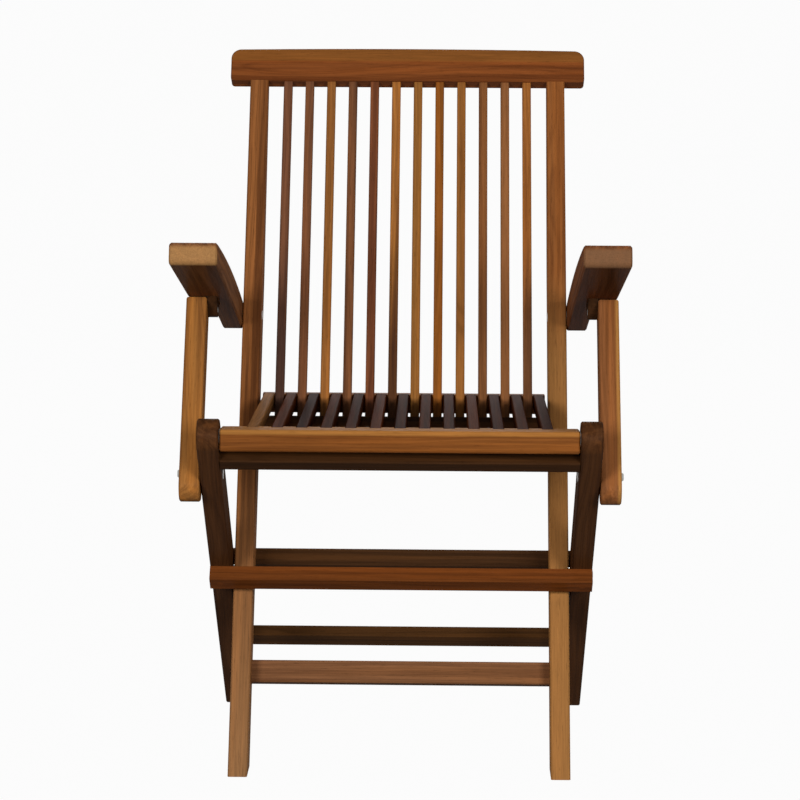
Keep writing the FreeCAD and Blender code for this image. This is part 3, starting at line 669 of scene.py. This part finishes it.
@dataclass(frozen=True)
class Arms:
    """Arm boards, their cleats and their posts.

    Attributes:
        tones: Early tone, late tone and front end of each arm, and early tone of its post.
        pale_edge_from_mm: Where a paler strip starts across each post, or 0 for none.
    """

    tones: dict[str, tuple[str, str, str, str]] = field(default_factory=lambda: {
        "left": ("#895b38", "#4c2a17", "#a57a4b", "#9f6934"),
        "right": ("#7c4c2d", "#4a2612", "#7a583d", "#8b5732"),
    })
    pale_edge_from_mm: dict[str, float] = field(default_factory=lambda: {"left": 0.0, "right": 7.0})

    def build(self) -> None:
        """Dress the arms and what carries them."""
        for seed, (side, (early, late, end, post)) in enumerate(self.tones.items(), start=50):
            board(side + "_arm", OiledTeak(
                "teak_%s_arm" % side, early, late, Grain.ARM, streak=0.45, seed=float(seed),
                ring_mm=8.0, end_tone=end, end_axis="Y", end_full_m=-0.3050, end_fades_m=-0.3025,
                end_share=0.8))
            # Painted shade: the cleats beneath the arms get a dark tone for the shade there.
            board(side + "_arm_cleat", OiledTeak(
                "teak_%s_arm_cleat" % side, "#3f2818", "#23150b", Grain.ARM, streak=0.35,
                seed=seed + 2.0))
            board(side + "_arm_post", OiledTeak(
                "teak_%s_arm_post" % side, post, "#593319", Grain.POST, streak=0.45,
                seed=seed + 4.0, pale_edge_from_mm=self.pale_edge_from_mm[side]))


@dataclass(frozen=True)
class Fasteners:
    """Bolts, nuts, washers, pins and screws.

    Attributes:
        words: Words in the names of these pieces.
    """

    words: tuple[str, ...] = ("bolt", "washer", "pin", "nut", "screw")

    def build(self) -> None:
        """Dress the fasteners in one steel."""
        steel = PolishedStainless().build()
        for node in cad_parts:
            if any(word in node for word in self.words):
                dress(node, steel)


@dataclass(frozen=True)
class Softbox:
    """Square soft light.

    Attributes:
        name: Name of the light.
        place: Where it hangs, in metres.
        target: The point it faces, in metres.
        side_m: Its side length.
        power_w: Its power.
    """

    name: str
    place: Point
    target: Point
    side_m: float
    power_w: float

    def hang(self) -> None:
        """Put the light into the scene."""
        data = bpy.data.lights.new(self.name, "AREA")
        data.shape = "SQUARE"
        data.size = self.side_m
        data.energy = self.power_w
        lamp = bpy.data.objects.new(self.name, data)
        lamp.location = self.place
        facing = Vector(self.target) - Vector(self.place)
        lamp.rotation_euler = facing.to_track_quat("-Z", "Y").to_euler()
        bpy.context.scene.collection.objects.link(lamp)


@dataclass(frozen=True)
class Studio:
    """Pale floor, white surroundings, soft lights and the camera.

    Attributes:
        eye_mm: Where the camera stands.
        yaw_deg: Turn of the camera to the right.
        down_deg: Tilt of the camera to the floor.
        roll_deg: Roll of the camera.
        focal_px: Focal length in pixels of the picture.
        picture_px: Side of the square picture.
        sensor_mm: Width of the sensor.
        sight_m: How far the camera sees.
        floor_half_m: Half the side of the floor.
        floor_tone: Tone of the floor for the light that the chair gets from it.
        floor_glow: Share of plain white in the floor that the camera sees.
        room_glow: Strength of the surroundings for all but the camera and gloss.
        lights: The soft lights.
    """

    eye_mm: Point = (48.53, -3544.1, 1032.4)
    yaw_deg: float = -0.85
    down_deg: float = 9.20
    roll_deg: float = 0.30
    focal_px: float = 2700.0
    picture_px: float = 800.0
    sensor_mm: float = 36.0
    sight_m: float = 100.0
    floor_half_m: float = 100.0
    floor_tone: str = "#403f3e"
    floor_glow: float = 0.97
    room_glow: float = 0.03
    lights: tuple[Softbox, ...] = (
        Softbox("left_softbox", (-1.5, -3.0, 1.35), (0.0, 0.0, 0.45), 1.1, 64.0),
        Softbox("right_softbox", (1.5, -3.0, 1.35), (0.0, 0.0, 0.45), 1.1, 64.0),
        Softbox("overhead_softbox", (0.2, 0.2, 3.0), (0.0, 0.0, 0.5), 1.8, 9.0),
        Softbox("rear_softbox", (0.0, 3.2, 1.8), (0.0, 0.0, 0.5), 1.5, 100.0),
    )

    def build(self) -> None:
        """Set the floor, the surroundings, the lights and the camera."""
        self._floor()
        self._surroundings()
        for light in self.lights:
            light.hang()
        self._camera()

    def _floor(self) -> None:
        """Pale floor: white to the camera and to gloss, with the chair's soft shadow."""
        mesh = bpy.data.meshes.new("pale_floor")
        half = self.floor_half_m
        corners = [(-half, -half, 0.0), (half, -half, 0.0), (half, half, 0.0), (-half, half, 0.0)]
        mesh.from_pydata(corners, [], [(0, 1, 2, 3)])
        floor = bpy.data.objects.new("pale_floor", mesh)
        bpy.context.scene.collection.objects.link(floor)
        material = node_material("pale_floor_paint")
        tree = material.node_tree
        matt = add(tree, "ShaderNodeBsdfDiffuse", {"Color": linear(self.floor_tone)}).outputs[0]
        glow = add(tree, "ShaderNodeEmission", {"Color": WHITE, "Strength": 1.0}).outputs[0]
        share = reckon(tree, "MULTIPLY", self._seen(tree), self.floor_glow)
        shown = add(tree, "ShaderNodeMixShader", {0: share, 1: matt, 2: glow})
        add(tree, "ShaderNodeOutputMaterial", {"Surface": shown.outputs[0]})
        mesh.materials.append(material)

    def _seen(self, tree: bpy.types.NodeTree) -> bpy.types.NodeSocket:
        """One for a ray from the camera, a gloss or a glass, and otherwise nothing."""
        path = add(tree, "ShaderNodeLightPath").outputs
        pair = reckon(tree, "MAXIMUM", path["Is Camera Ray"], path["Is Glossy Ray"])
        return reckon(tree, "MAXIMUM", pair, path["Is Transmission Ray"])

    def _surroundings(self) -> None:
        """White room that gives only a little light of its own."""
        world = bpy.data.worlds.new("white_room")
        world.use_nodes = True
        tree = world.node_tree
        tree.nodes.clear()
        strength = remap(tree, self._seen(tree), (0.0, 1.0), (self.room_glow, 1.0))
        back = add(tree, "ShaderNodeBackground", {"Color": WHITE, "Strength": strength})
        add(tree, "ShaderNodeOutputWorld", {"Surface": back.outputs[0]})
        bpy.context.scene.world = world

    def _camera(self) -> None:
        """Stand the camera where the picture was taken from."""
        data = bpy.data.cameras.new("camera")
        data.sensor_width = self.sensor_mm
        data.lens = self.focal_px * self.sensor_mm / self.picture_px
        data.clip_end = self.sight_m
        yaw, down, roll = map(math.radians, (self.yaw_deg, self.down_deg, self.roll_deg))
        ahead = math.cos(down)
        forward = Vector((math.sin(yaw) * ahead, math.cos(yaw) * ahead, -math.sin(down)))
        level = Vector((math.cos(yaw), -math.sin(yaw), 0.0))
        above = level.cross(forward)
        right = level * math.cos(roll) + above * math.sin(roll)
        up = above * math.cos(roll) - level * math.sin(roll)
        turn = Matrix((right, up, -forward)).transposed()
        camera = bpy.data.objects.new("camera", data)
        camera.matrix_world = Matrix.Translation(Vector(self.eye_mm) * MM) @ turn.to_4x4()
        bpy.context.scene.collection.objects.link(camera)
        bpy.context.scene.camera = camera


def main() -> None:
    """Dress the chair and set the studio."""
    for part in (BackFrame(), LegFrame(), Seat(), Arms(), Fasteners(), Studio()):
        part.build()
        log.info("%s done", type(part).__name__)
    bpy.context.scene.view_settings.view_transform = "Standard"


if __name__ == "__main__":
    main()
